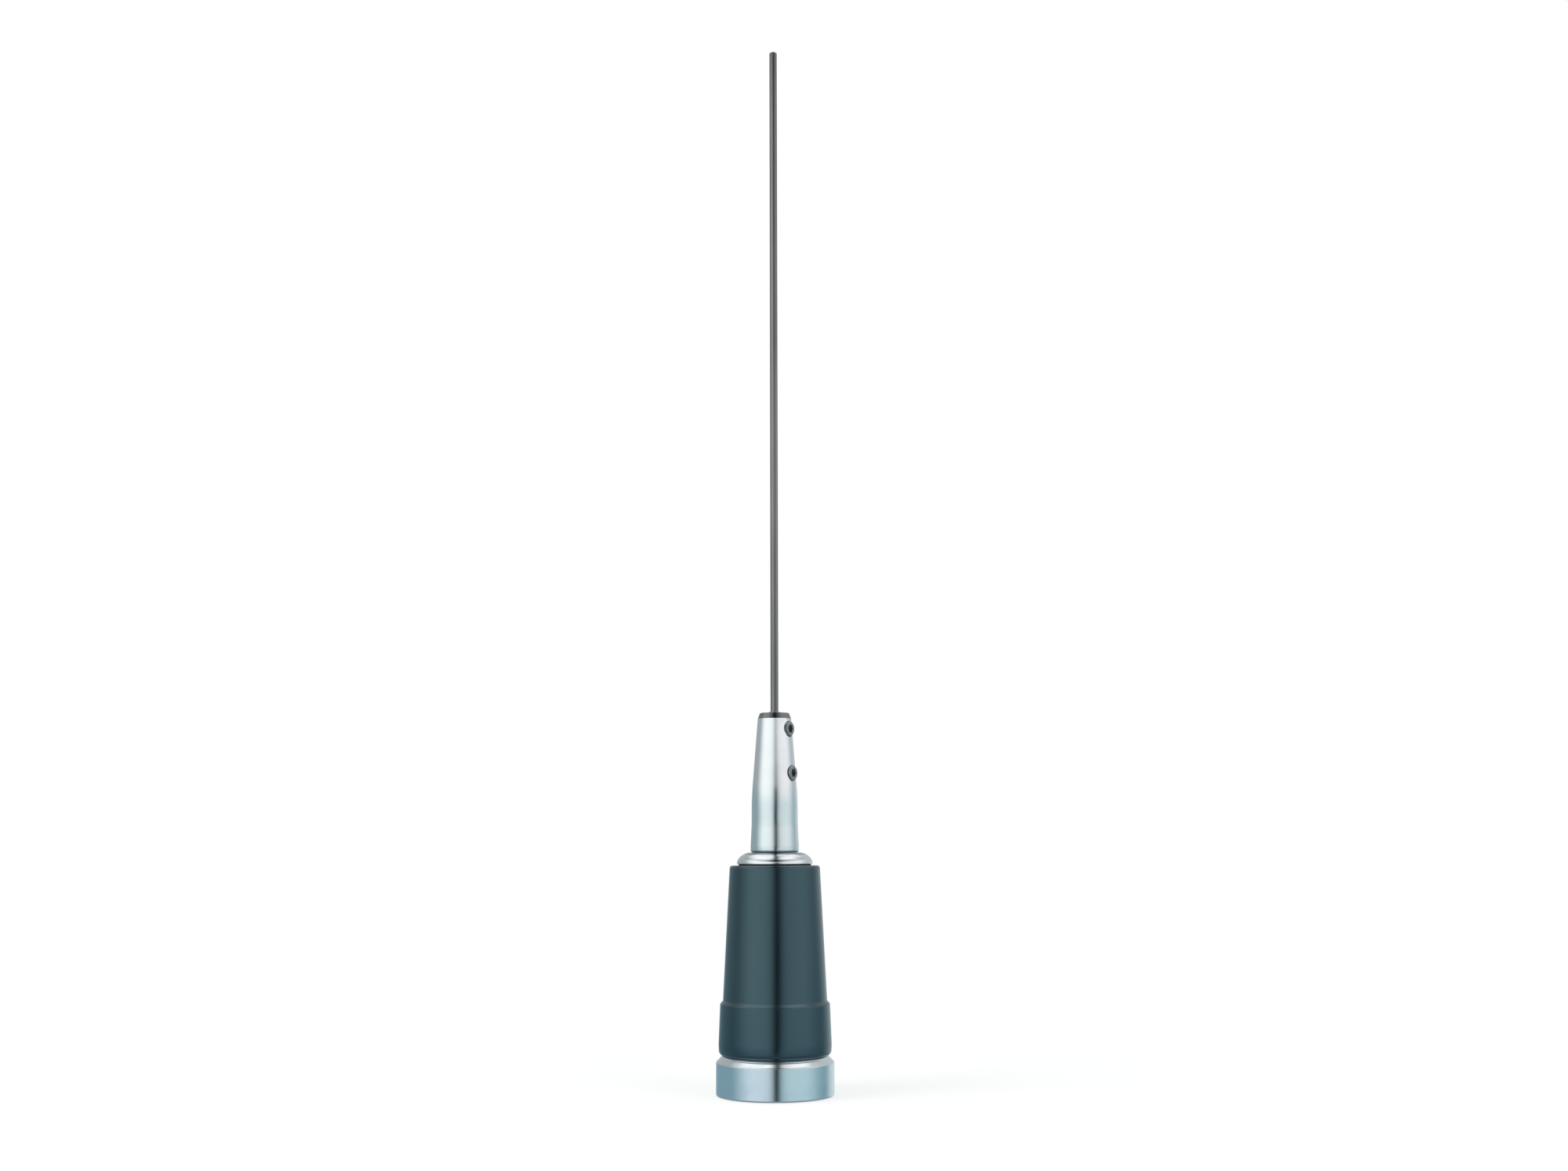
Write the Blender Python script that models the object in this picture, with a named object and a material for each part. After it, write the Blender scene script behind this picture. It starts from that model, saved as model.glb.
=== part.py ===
"""Mobile radio antenna: a stainless whip clamped in a chromed ferrule, on a base-loaded coil unit.

The coil unit is a tapered black housing with a chromed coupling ring, whose 1 1/8 in thread screws
onto a roof mount. The ferrule screws onto the stud of the top terminal, and two set screws in it
clamp the whip. +Z points up along the whip, the set screws face +X, and the origin is the centre of
the ring's foot.
"""

import math

import bmesh
import bpy
from mathutils import Matrix

MM = 0.001
INCH = 25.4 * MM

# Clearances
SEAT_GAP = 0.3 * MM  # between pieces that rest on each other
SLIDE_GAP = 0.15 * MM  # round a piece that slides, turns or screws in its bore

# Coupling ring and the thread that takes the roof mount
THREAD_BORE = 27.8 * MM  # halfway up the flanks of a 1 1/8 in thread
THREAD_LEAD_IN = 0.6 * MM
RING_WALL = 5.1 * MM
RING_RIM_ROUND = 0.6 * MM
RING_FOOT_ROUND = 0.5 * MM
RING_COLLAR_WALL = 1.1 * MM  # of the collar that stands on the rim, under the housing's foot
RING_COLLAR_HEIGHT = 1.2 * MM
RING_COLLAR_ROUND = 0.5 * MM
SOCKET_DEPTH = 7.0 * MM
BOARD_LEDGE = 2.1 * MM  # width of the shoulder that carries the base board
SEAL_SECTION = 1.6 * MM

# Base board and its sprung contact
BOARD_THICKNESS = 1.6 * MM
SLEEVE_DIAMETER = 6.0 * MM
SLEEVE_BORE = 4.2 * MM
SLEEVE_STAND = 9.5 * MM  # height of the sleeve above the board
SLEEVE_FLANGE_RIM = 1.6 * MM
SLEEVE_FLANGE = 0.8 * MM
SLEEVE_LIP = 1.1 * MM  # thickness of the lip that keeps the plunger in
CONTACT_NUT_WIDTH = 8.0 * MM
CONTACT_NUT_HEIGHT = 2.5 * MM
PLUNGER_DIAMETER = 3.0 * MM
PLUNGER_REACH = 1.6 * MM
PLUNGER_TIP_ROUND = 0.9 * MM
PLUNGER_COLLAR = 1.5 * MM
PLUNGER_GUIDE = 2.0 * MM
PLUNGER_GUIDE_DIAMETER = 1.8 * MM
SPRING_WIRE = 0.36 * MM
SPRING_TURNS = 5
CAP_PLUG = 1.5 * MM
CAP_HEAD = 1.0 * MM

# Housing
HOUSING_WALL = 2.2 * MM
SPIGOT_WALL = 2.1 * MM
SPIGOT_SEATING = 3.3 * MM  # how deep the spigot stands in the ring
RING_REVEAL = 0.75 * MM  # how far the ring stands out past the skirt
LEDGE_INSET = 1.1 * MM  # how far the skirt's chamfered foot draws in
LEDGE_CHAMFER_HEIGHT = 1.9 * MM
LEDGE_ROUND = 2.2 * MM
SKIRT_HEIGHT = 15.8 * MM
SKIRT_DRAFT = 0.5 * MM  # how much each side draws in from foot to top
SKIRT_STEP = 0.9 * MM  # width of the shoulder where the skirt meets the cone
SKIRT_STEP_RISE = 1.0 * MM  # the shoulder slopes up to the cone
SKIRT_SHOULDER_ROUND = 0.5 * MM
CONE_HEIGHT = 44.0 * MM
CONE_DRAFT = 2.15 * MM
CONE_TOP_ROUND = 0.9 * MM

# Loading coil
WINDING_CLEARANCE = 0.6 * MM  # between the winding and the narrowest part of the housing
WINDING_WIRE = 1.6 * MM
WINDING_START = 10.0 * MM  # height of the first turn above the board
WINDING_PITCH = 4.2 * MM
WINDING_TURNS = 9.5
WINDING_BEND = 2.0 * MM
FORMER_FLANGE = 2.0 * MM
FORMER_WALL = 1.6 * MM
FORMER_TOP = 2.5 * MM
RIB_COUNT = 6
RIB_HEIGHT = 1.4 * MM
RIB_WIDTH = 2.4 * MM
RIB_SETBACK = 2.0 * MM
TAP_WIRE = 1.0 * MM
TAP_BEND = 1.5 * MM

# Top terminal and what it clamps
STUD_DIAMETER = 5 / 16 * INCH
STUD_LENGTH = 10.0 * MM
STUD_CHAMFER = 0.6 * MM
DOME_INSET = 2.35 * MM  # how far the dome's edge stays behind the housing's
DOME_HEIGHT = 3.5 * MM
DOME_EDGE = 0.2 * MM  # the upright edge under the dome's curve
DOME_LAND = 0.5 * MM  # flat metal round the ferrule's foot
DOME_SLOPE = 1.3  # 1 is a quarter ellipse, and more draws its shoulder in
GASKET_THICKNESS = 0.4 * MM
GASKET_INSET = 0.5 * MM  # how far the gasket hides behind the dome's edge
TAG_THICKNESS = 0.6 * MM
TAG_RIM = 2.5 * MM
TAG_TONGUE_WIDTH = 3.2 * MM
FLAT_WASHER_RIM = 2.3 * MM
FLAT_WASHER = 0.8 * MM
TERMINAL_NUT_WIDTH = 11.0 * MM
TERMINAL_NUT_HEIGHT = 3.5 * MM
THREAD_TAIL = 1.5 * MM  # thread that stands past the terminal nut
LOCK_WASHER_RIM = 1.9 * MM
LOCK_WASHER = 0.4 * MM
LOCK_WASHER_RECESS = 0.5 * MM
LOCK_WASHER_TEETH = 8

# Ferrule, set screws and whip
FERRULE_BARREL_DIAMETER = 15.1 * MM
FERRULE_TIP_DIAMETER = 11.1 * MM
FERRULE_BARREL = 16.8 * MM  # height of the straight barrel
FERRULE_TAPER = 25.9 * MM  # height of the taper above it
FERRULE_TAPER_ROUND = 100 * MM  # the barrel runs into the taper in one long curve
FERRULE_FOOT_FLARE = 0.35 * MM
FERRULE_FOOT_HEIGHT = 1.6 * MM
FERRULE_FOOT_ROUND = 0.4 * MM
FERRULE_TIP_CHAMFER = 0.7 * MM
FERRULE_TIP_CHAMFER_HEIGHT = 1.9 * MM
FERRULE_LIP_WALL = 0.35 * MM  # the thin collar round the whip
FERRULE_LIP_HEIGHT = 0.45 * MM
FERRULE_WEB = 3.0 * MM  # metal between the stud's hole and the whip's bore
TAP_RUN_OUT = 0.9 * MM  # tapped hole past the stud's end
WHIP_DIAMETER = 2.6 * MM
WHIP_EXPOSED = 230.6 * MM
WHIP_FLOOR_GAP = 4.0 * MM  # room to push the whip down when it is tuned
WHIP_END_CHAMFER = 0.25 * MM
SCREW_DIAMETER = 4.8 * MM
SCREW_STAND = 0.5 * MM  # how far the screws stand out of the taper
SCREW_POINT_CHAMFER = 0.7 * MM
SCREW_RIM_CHAMFER = 0.25 * MM
SCREW_SOCKET_WIDTH = 2.5 * MM
SCREW_SOCKET_DEPTH = 2.4 * MM
SCREW_COUNTERSINK = 0.5 * MM
UPPER_SCREW_DROP = 5.3 * MM  # below the ferrule's top
SCREW_SPACING = 14.5 * MM

# Facets
SEGMENTS_LARGE = 48
SEGMENTS_MEDIUM = 36
SEGMENTS_SMALL = 24
ARC_STEPS = 3
DOME_STEPS = 6
SEAL_SIDES = 8
WINDING_STEPS = 14  # points in one turn of the winding
SPRING_STEPS = 10

# Radii, worked out from the thread outwards and then from the housing inwards
thread_radius = THREAD_BORE / 2
ring_radius = thread_radius + RING_WALL
pocket_radius = thread_radius + BOARD_LEDGE
collar_radius = pocket_radius + RING_COLLAR_WALL
board_radius = pocket_radius - SEAT_GAP
mouth_radius = board_radius - SPIGOT_WALL
skirt_foot_radius = ring_radius - RING_REVEAL
skirt_top_radius = skirt_foot_radius - SKIRT_DRAFT
cone_foot_radius = skirt_top_radius - SKIRT_STEP
cone_top_radius = cone_foot_radius - CONE_DRAFT
roof_radius = cone_top_radius - HOUSING_WALL
winding_radius = roof_radius - WINDING_CLEARANCE - WINDING_WIRE / 2
rib_radius = winding_radius - WINDING_WIRE / 2 - SEAT_GAP
core_radius = rib_radius - RIB_HEIGHT
bore_radius = core_radius - FORMER_WALL
sleeve_radius = SLEEVE_DIAMETER / 2
stud_radius = STUD_DIAMETER / 2
stud_hole = stud_radius + SEAT_GAP
dome_radius = cone_top_radius - DOME_INSET
barrel_radius = FERRULE_BARREL_DIAMETER / 2
foot_radius = barrel_radius + FERRULE_FOOT_FLARE
tip_radius = FERRULE_TIP_DIAMETER / 2
lock_washer_radius = stud_hole + LOCK_WASHER_RIM
whip_radius = WHIP_DIAMETER / 2
screw_radius = SCREW_DIAMETER / 2

# Heights, worked out from the foot of the ring upwards
board_bottom = SOCKET_DEPTH + SEAT_GAP
board_top = board_bottom + BOARD_THICKNESS
floor_top = board_top + SEAT_GAP  # where the housing, former and contact nut stand
flange_bottom = SOCKET_DEPTH - SLEEVE_FLANGE
sleeve_top = board_top + SLEEVE_STAND
cap_top = sleeve_top + SEAT_GAP + CAP_HEAD
ring_top = floor_top + SPIGOT_SEATING
ledge = ring_top + SEAT_GAP
skirt_top = ledge + SKIRT_HEIGHT
housing_top = skirt_top + CONE_HEIGHT
roof = housing_top - HOUSING_WALL
tag_bottom = roof - SEAT_GAP - TAG_THICKNESS
former_top = tag_bottom - SEAT_GAP
former_roof = former_top - FORMER_TOP
flat_washer_bottom = former_roof - SEAT_GAP - FLAT_WASHER
terminal_nut_bottom = flat_washer_bottom - SEAT_GAP - TERMINAL_NUT_HEIGHT
winding_start = board_top + WINDING_START
winding_end = winding_start + WINDING_PITCH * WINDING_TURNS
tap_height = winding_start + WINDING_PITCH * 3 / 4  # where the first turn crosses -Y
gasket_bottom = housing_top + SEAT_GAP
dome_bottom = gasket_bottom + GASKET_THICKNESS + SEAT_GAP
dome_top = dome_bottom + DOME_HEIGHT
stud_top = dome_top + STUD_LENGTH
recess_floor = dome_top - LOCK_WASHER_RECESS
lock_washer_bottom = recess_floor + SEAT_GAP
ferrule_foot = lock_washer_bottom + LOCK_WASHER + SEAT_GAP
taper_foot = ferrule_foot + FERRULE_BARREL
taper_top = taper_foot + FERRULE_TAPER
ferrule_top = taper_top + FERRULE_TIP_CHAMFER_HEIGHT
tap_end = stud_top + TAP_RUN_OUT
whip_floor = tap_end + FERRULE_WEB
whip_foot = whip_floor + WHIP_FLOOR_GAP
whip_tip = ferrule_top + WHIP_EXPOSED
upper_screw_height = ferrule_top - UPPER_SCREW_DROP
lower_screw_height = upper_screw_height - SCREW_SPACING


def material(name, colour, metallic, roughness):
    made = bpy.data.materials.new(name)
    made.use_nodes = True
    shader = made.node_tree.nodes["Principled BSDF"]
    shader.inputs["Base Color"].default_value = (*colour, 1)
    shader.inputs["Metallic"].default_value = metallic
    shader.inputs["Roughness"].default_value = roughness
    made.diffuse_color = (*colour, 1)
    return made


def place(name, data, finish, stand=None):
    """Links a mesh or curve into the scene as one named sub-part."""
    piece = bpy.data.objects.new(name, data)
    bpy.context.scene.collection.objects.link(piece)
    data.materials.append(finish)
    if stand is not None:
        piece.matrix_world = stand
    return piece


def place_mesh(name, shape, finish, stand=None):
    mesh = bpy.data.meshes.new(name)
    shape.to_mesh(mesh)
    shape.free()
    mesh.shade_smooth()
    mesh.set_sharp_from_angle(angle=math.radians(30))
    return place(name, mesh, finish, stand)


def arc_points(before, corner, after, radius):
    """A fillet of radius at corner, between the straight lines to its two neighbours."""
    x, y = corner
    in_x, in_y = before[0] - x, before[1] - y
    out_x, out_y = after[0] - x, after[1] - y
    in_length, out_length = math.hypot(in_x, in_y), math.hypot(out_x, out_y)
    in_x, in_y = in_x / in_length, in_y / in_length
    out_x, out_y = out_x / out_length, out_y / out_length
    half = math.acos(in_x * out_x + in_y * out_y) / 2
    # The arc takes at most half of each line, so that it never runs past its neighbour's.
    tangent = min(radius / math.tan(half), in_length / 2, out_length / 2)
    radius = tangent * math.tan(half)
    reach = radius / math.sin(half) / math.hypot(in_x + out_x, in_y + out_y)
    centre_x, centre_y = x + (in_x + out_x) * reach, y + (in_y + out_y) * reach
    first = math.atan2(y + in_y * tangent - centre_y, x + in_x * tangent - centre_x)
    last = math.atan2(y + out_y * tangent - centre_y, x + out_x * tangent - centre_x)
    turn = (last - first + math.pi) % (2 * math.pi) - math.pi
    angles = [first + turn * step / ARC_STEPS for step in range(ARC_STEPS + 1)]
    return [(centre_x + radius * math.cos(angle), centre_y + radius * math.sin(angle)) for angle in angles]


def rounded(corners):
    """The outline through (x, y) or (x, y, radius) corners, with a fillet wherever there is a radius."""
    points = []
    for index, corner in enumerate(corners):
        if len(corner) == 2:
            points.append(corner)
            continue
        before, after = corners[index - 1], corners[(index + 1) % len(corners)]
        points += arc_points(before, corner[:2], after, corner[2])
    return points


def turned(name, corners, segments, finish, stand=None):
    """A lathe-turned solid. Its (radius, height) outline closes on itself, or runs from axis to axis."""
    outline = rounded(corners)
    on_axis = outline[0][0] == 0 and outline[-1][0] == 0
    shape = bmesh.new()
    points = [shape.verts.new((radius, 0, height)) for radius, height in outline]
    pairs = list(zip(points, points[1:]))
    if not on_axis:
        pairs.append((points[-1], points[0]))
    lines = [shape.edges.new(pair) for pair in pairs]
    bmesh.ops.spin(
        shape,
        geom=points + lines,
        cent=(0, 0, 0),
        axis=(0, 0, 1),
        angle=2 * math.pi,
        steps=segments,
        use_merge=True,
    )
    bmesh.ops.remove_doubles(shape, verts=shape.verts, dist=MM / 10000)
    bmesh.ops.recalc_face_normals(shape, faces=shape.faces)
    return place_mesh(name, shape, finish, stand)


def rod(name, radius, bottom, top, segments, finish, stand=None):
    corners = [(0, bottom), (radius, bottom), (radius, top), (0, top)]
    return turned(name, corners, segments, finish, stand)


def box(name, low, high, finish, stand=None):
    shape = bmesh.new()
    bmesh.ops.create_cube(shape, size=1)
    bmesh.ops.scale(shape, vec=[b - a for a, b in zip(low, high)], verts=shape.verts)
    bmesh.ops.translate(shape, vec=[(a + b) / 2 for a, b in zip(low, high)], verts=shape.verts)
    return place_mesh(name, shape, finish, stand)


def plate(name, outlines, bottom, thickness, finish):
    """A flat piece cut to the first outline, with the others as holes in it."""
    curve = bpy.data.curves.new(name, "CURVE")
    curve.dimensions = "2D"
    curve.fill_mode = "BOTH"
    curve.extrude = thickness / 2
    for outline in outlines:
        spline = curve.splines.new("POLY")
        spline.points.add(len(outline) - 1)
        spline.use_cyclic_u = True
        for point, (x, y) in zip(spline.points, outline):
            point.co = (x, y, 0, 1)
    return place(name, curve, finish, Matrix.Translation((0, 0, bottom + thickness / 2)))


def wire(name, path, thickness, sides, finish):
    """A round wire along a path, with flat ends."""
    curve = bpy.data.curves.new(name, "CURVE")
    curve.dimensions = "3D"
    curve.bevel_depth = thickness / 2
    curve.bevel_resolution = sides // 2 - 2
    curve.use_fill_caps = True
    spline = curve.splines.new("POLY")
    spline.points.add(len(path) - 1)
    for point, (x, y, z) in zip(spline.points, path):
        point.co = (x, y, z, 1)
    return place(name, curve, finish)


def boolean(piece, other, operation):
    """Joins other to piece, or cuts it out, and leaves it in the file as a wire outline."""
    step = piece.modifiers.new(other.name, "BOOLEAN")
    step.operation = operation
    step.solver = "EXACT"
    step.object = other
    other.hide_render = True
    other.display_type = "WIRE"


def cut(piece, cutter):
    boolean(piece, cutter, "DIFFERENCE")


def join(piece, addition):
    boolean(piece, addition, "UNION")


def circle(radius, segments):
    angles = [2 * math.pi * step / segments for step in range(segments)]
    return [(radius * math.cos(angle), radius * math.sin(angle)) for angle in angles]


def hexagon(width):
    """A hexagon that measures width across its flats."""
    return circle(width / 2 / math.cos(math.pi / 6), 6)


def lay_along_x(x, height):
    """Lays a piece that was made along +Z on its side, to point along +X from (x, 0, height)."""
    return Matrix.Translation((x, 0, height)) @ Matrix.Rotation(math.pi / 2, 4, "Y")


def make_coupling_ring(chrome):
    middle = (thread_radius + ring_radius) / 2
    half_groove = SEAL_SECTION / 2 + SEAT_GAP
    groove_depth = SEAL_SECTION + SEAT_GAP
    rim = ring_top - RING_COLLAR_HEIGHT
    corners = [
        (thread_radius + THREAD_LEAD_IN, 0),
        (middle - half_groove, 0),
        (middle - half_groove, groove_depth),
        (middle + half_groove, groove_depth),
        (middle + half_groove, 0),
        (ring_radius, 0, RING_FOOT_ROUND),
        (ring_radius, rim, RING_RIM_ROUND),
        (collar_radius, rim),
        (collar_radius, ring_top, RING_COLLAR_ROUND),
        (pocket_radius, ring_top),
        (pocket_radius, SOCKET_DEPTH),
        (thread_radius, SOCKET_DEPTH),
        (thread_radius, THREAD_LEAD_IN),
    ]
    turned("coupling_ring", corners, SEGMENTS_LARGE, chrome)


def make_base_seal(rubber):
    """The seal in the ring's foot. Its section stands on a flat, level with the foot."""
    middle = (thread_radius + ring_radius) / 2
    reach = SEAL_SECTION / 2 / math.cos(math.pi / SEAL_SIDES)
    angles = [math.pi * (2 * side + 1) / SEAL_SIDES for side in range(SEAL_SIDES)]
    corners = [
        (middle + reach * math.sin(angle), SEAL_SECTION / 2 - reach * math.cos(angle))
        for angle in angles
    ]
    turned("base_seal", corners, SEGMENTS_LARGE, rubber)


def make_base_board(laminate):
    outlines = [circle(board_radius, SEGMENTS_LARGE), circle(sleeve_radius + SEAT_GAP, SEGMENTS_SMALL)]
    plate("base_board", outlines, board_bottom, BOARD_THICKNESS, laminate)


def make_contact(brass, gold, steel):
    """The sprung centre contact: a plunger in a flanged sleeve, which a ring nut holds to the board."""
    sleeve_bore = SLEEVE_BORE / 2
    stem = PLUNGER_DIAMETER / 2
    slider = sleeve_bore - SLIDE_GAP
    lip_top = flange_bottom + SLEEVE_LIP
    flange = sleeve_radius + SLEEVE_FLANGE_RIM
    sleeve = [
        (stem + SLIDE_GAP, flange_bottom),
        (flange, flange_bottom),
        (flange, SOCKET_DEPTH),
        (sleeve_radius, SOCKET_DEPTH),
        (sleeve_radius, sleeve_top),
        (sleeve_bore, sleeve_top),
        (sleeve_bore, lip_top),
        (stem + SLIDE_GAP, lip_top),
    ]
    turned("contact_sleeve", sleeve, SEGMENTS_SMALL, brass)

    nut = [hexagon(CONTACT_NUT_WIDTH), circle(sleeve_radius + SLIDE_GAP, SEGMENTS_SMALL)]
    plate("contact_nut", nut, floor_top, CONTACT_NUT_HEIGHT, brass)

    tip = flange_bottom - PLUNGER_REACH
    collar_bottom = lip_top + SEAT_GAP
    collar_top = collar_bottom + PLUNGER_COLLAR
    guide = PLUNGER_GUIDE_DIAMETER / 2
    plunger = [
        (0, tip),
        (stem, tip, PLUNGER_TIP_ROUND),
        (stem, collar_bottom),
        (slider, collar_bottom),
        (slider, collar_top),
        (guide, collar_top),
        (guide, collar_top + PLUNGER_GUIDE),
        (0, collar_top + PLUNGER_GUIDE),
    ]
    turned("contact_plunger", plunger, SEGMENTS_SMALL, gold)

    plug_bottom = sleeve_top - CAP_PLUG
    cap = [
        (0, plug_bottom),
        (slider, plug_bottom),
        (slider, sleeve_top + SEAT_GAP),
        (sleeve_radius, sleeve_top + SEAT_GAP),
        (sleeve_radius, cap_top),
        (0, cap_top),
    ]
    turned("spring_cap", cap, SEGMENTS_SMALL, brass)

    first = collar_top + SEAT_GAP + SPRING_WIRE / 2
    last = plug_bottom - SEAT_GAP - SPRING_WIRE / 2
    radius = (guide + sleeve_bore) / 2
    steps = SPRING_TURNS * SPRING_STEPS
    path = []
    for step in range(steps + 1):
        angle = 2 * math.pi * step / SPRING_STEPS
        height = first + (last - first) * step / steps
        path.append((radius * math.cos(angle), radius * math.sin(angle), height))
    wire("contact_spring", path, SPRING_WIRE, 6, steel)


def make_housing(moulding):
    corners = [
        (mouth_radius, floor_top),
        (board_radius, floor_top),
        (board_radius, ledge),
        (skirt_foot_radius - LEDGE_INSET, ledge),
        (skirt_foot_radius, ledge + LEDGE_CHAMFER_HEIGHT, LEDGE_ROUND),
        (skirt_top_radius, skirt_top, SKIRT_SHOULDER_ROUND),
        (cone_foot_radius, skirt_top + SKIRT_STEP_RISE),
        (cone_top_radius, housing_top, CONE_TOP_ROUND),
        (stud_hole, housing_top),
        (stud_hole, roof),
        (roof_radius, roof),
    ]
    turned("housing", corners, SEGMENTS_LARGE, moulding)


def make_coil_former(nylon):
    """A ribbed tube: the wire lies on the ribs, and the flange centres it in the housing's mouth."""
    flange_top = floor_top + FORMER_FLANGE
    below = floor_top - FORMER_FLANGE
    corners = [
        (0, floor_top),
        (mouth_radius - SEAT_GAP, floor_top),
        (mouth_radius - SEAT_GAP, flange_top),
        (core_radius, flange_top),
        (core_radius, former_top),
        (0, former_top),
    ]
    former = turned("coil_former", corners, SEGMENTS_MEDIUM, nylon)
    for index in range(RIB_COUNT):
        turn = Matrix.Rotation(2 * math.pi * index / RIB_COUNT, 4, "Z")
        low = (core_radius - FORMER_WALL / 2, -RIB_WIDTH / 2, flange_top - FORMER_FLANGE / 2)
        high = (rib_radius, RIB_WIDTH / 2, former_top - RIB_SETBACK)
        join(former, box(f"former_rib_{index + 1}", low, high, nylon, turn))
    cut(former, rod("former_bore", bore_radius, below, former_roof, SEGMENTS_MEDIUM, nylon))
    middle = former_roof - FORMER_TOP
    above = former_top + FORMER_TOP
    cut(former, rod("former_stud_hole", stud_hole, middle, above, SEGMENTS_SMALL, nylon))
    lead = Matrix.Translation((winding_radius, 0, 0))
    lead_hole = WINDING_WIRE / 2 + SEAT_GAP
    above = flange_top + FORMER_FLANGE
    cut(former, rod("former_lead_hole", lead_hole, below, above, SEGMENTS_SMALL, nylon, lead))
    tap = Matrix.Translation((0, 0, tap_height)) @ Matrix.Rotation(math.pi / 2, 4, "X")
    tap_hole = TAP_WIRE / 2 + SEAT_GAP
    cut(former, rod("former_tap_hole", tap_hole, bore_radius / 2, winding_radius, SEGMENTS_SMALL, nylon, tap))


def make_winding(copper):
    """One wire: up from the board, round the former, and up again to the solder tag."""
    # The points stand a little outside the true radius, so that the straights between them lie on it.
    radius = winding_radius / math.cos(math.pi / WINDING_STEPS)
    length = 2 * math.pi * radius * WINDING_TURNS
    foot, start = (0, floor_top), (0, winding_start)
    end, head = (length, winding_end), (length, tag_bottom - SEAT_GAP)
    # The path is laid out flat, as (distance round the former, height), and then wrapped round it.
    first_bend = arc_points(foot, start, end, WINDING_BEND)
    last_bend = arc_points(start, end, head, WINDING_BEND)
    (low_x, low_y), (high_x, high_y) = first_bend[-1], last_bend[0]
    steps = round(WINDING_TURNS * WINDING_STEPS)
    shares = [step / steps for step in range(1, steps)]
    climb = [(low_x + (high_x - low_x) * share, low_y + (high_y - low_y) * share) for share in shares]
    path = []
    for distance, height in [foot] + first_bend + climb + last_bend + [head]:
        angle = distance / radius
        path.append((radius * math.cos(angle), radius * math.sin(angle), height))
    wire("coil_winding", path, WINDING_WIRE, 8, copper)


def make_tap_lead(copper):
    """The wire from the contact's cap to the first turn, out through the former's wall towards -Y."""
    foot, corner, end = (0, cap_top + SEAT_GAP), (0, tap_height), (rib_radius, tap_height)
    flat = [foot] + arc_points(foot, corner, end, TAP_BEND) + [end]
    wire("tap_lead", [(0, -outward, height) for outward, height in flat], TAP_WIRE, 8, copper)


def make_top_terminal(chrome):
    """A stud in one piece with the domed flange that closes the top of the coil unit."""
    bottom = terminal_nut_bottom - THREAD_TAIL
    recess = lock_washer_radius + SEAT_GAP
    land = foot_radius + DOME_LAND
    shoulder = dome_bottom + DOME_EDGE
    dome = []
    for step in range(DOME_STEPS + 1):
        turn = math.pi / 2 * step / DOME_STEPS
        reach = (dome_radius - land) * math.cos(turn) ** DOME_SLOPE
        dome.append((land + reach, shoulder + (dome_top - shoulder) * math.sin(turn)))
    below = [
        (0, bottom),
        (stud_radius - STUD_CHAMFER, bottom),
        (stud_radius, bottom + STUD_CHAMFER),
        (stud_radius, dome_bottom),
        (dome_radius, dome_bottom),
    ]
    above = [
        (recess, dome_top),
        (recess, recess_floor),
        (stud_radius, recess_floor),
        (stud_radius, stud_top - STUD_CHAMFER),
        (stud_radius - STUD_CHAMFER, stud_top),
        (0, stud_top),
    ]
    turned("top_terminal", below + dome + above, SEGMENTS_MEDIUM, chrome)


def make_solder_tag(brass):
    """A ring under the roof with a tongue over the end of the winding."""
    ring = stud_hole + TAG_RIM
    half = TAG_TONGUE_WIDTH / 2
    reach = winding_radius + WINDING_WIRE / 2
    neck = math.asin(half / ring)
    sweep = 2 * math.pi - 2 * neck
    angles = [neck + sweep * step / SEGMENTS_SMALL for step in range(SEGMENTS_SMALL + 1)]
    outline = [(ring * math.cos(angle), ring * math.sin(angle)) for angle in angles]
    outline += [(reach, -half), (reach, half)]
    tag = [outline, circle(stud_hole, SEGMENTS_SMALL)]
    piece = plate("solder_tag", tag, tag_bottom, TAG_THICKNESS, brass)
    piece.rotation_euler.z = 2 * math.pi * WINDING_TURNS


def make_terminal_stack(rubber, steel, brass):
    """What the terminal clamps to the housing: the gasket outside, and the washer and nut inside."""
    gasket = [circle(dome_radius - GASKET_INSET, SEGMENTS_MEDIUM), circle(stud_hole, SEGMENTS_SMALL)]
    plate("top_gasket", gasket, gasket_bottom, GASKET_THICKNESS, rubber)

    washer = [circle(stud_hole + FLAT_WASHER_RIM, SEGMENTS_SMALL), circle(stud_hole, SEGMENTS_SMALL)]
    plate("flat_washer", washer, flat_washer_bottom, FLAT_WASHER, steel)

    nut = [hexagon(TERMINAL_NUT_WIDTH), circle(stud_radius + SLIDE_GAP, SEGMENTS_SMALL)]
    plate("terminal_nut", nut, terminal_nut_bottom, TERMINAL_NUT_HEIGHT, brass)


def make_lock_washer(steel):
    """A washer with teeth round its bore, under the ferrule's foot."""
    root = (stud_hole + lock_washer_radius) / 2
    teeth = []
    for tooth in range(LOCK_WASHER_TEETH):
        for share, radius in ((0, stud_hole), (0.4, stud_hole), (0.5, root), (0.9, root)):
            angle = 2 * math.pi * (tooth + share) / LOCK_WASHER_TEETH
            teeth.append((radius * math.cos(angle), radius * math.sin(angle)))
    washer = [circle(lock_washer_radius, SEGMENTS_SMALL), teeth]
    plate("lock_washer", washer, lock_washer_bottom, LOCK_WASHER, steel)


def taper_radius(height):
    """The ferrule's outer radius at a height on its taper."""
    share = (height - taper_foot) / (taper_top - taper_foot)
    return barrel_radius + (tip_radius - barrel_radius) * share


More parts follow.
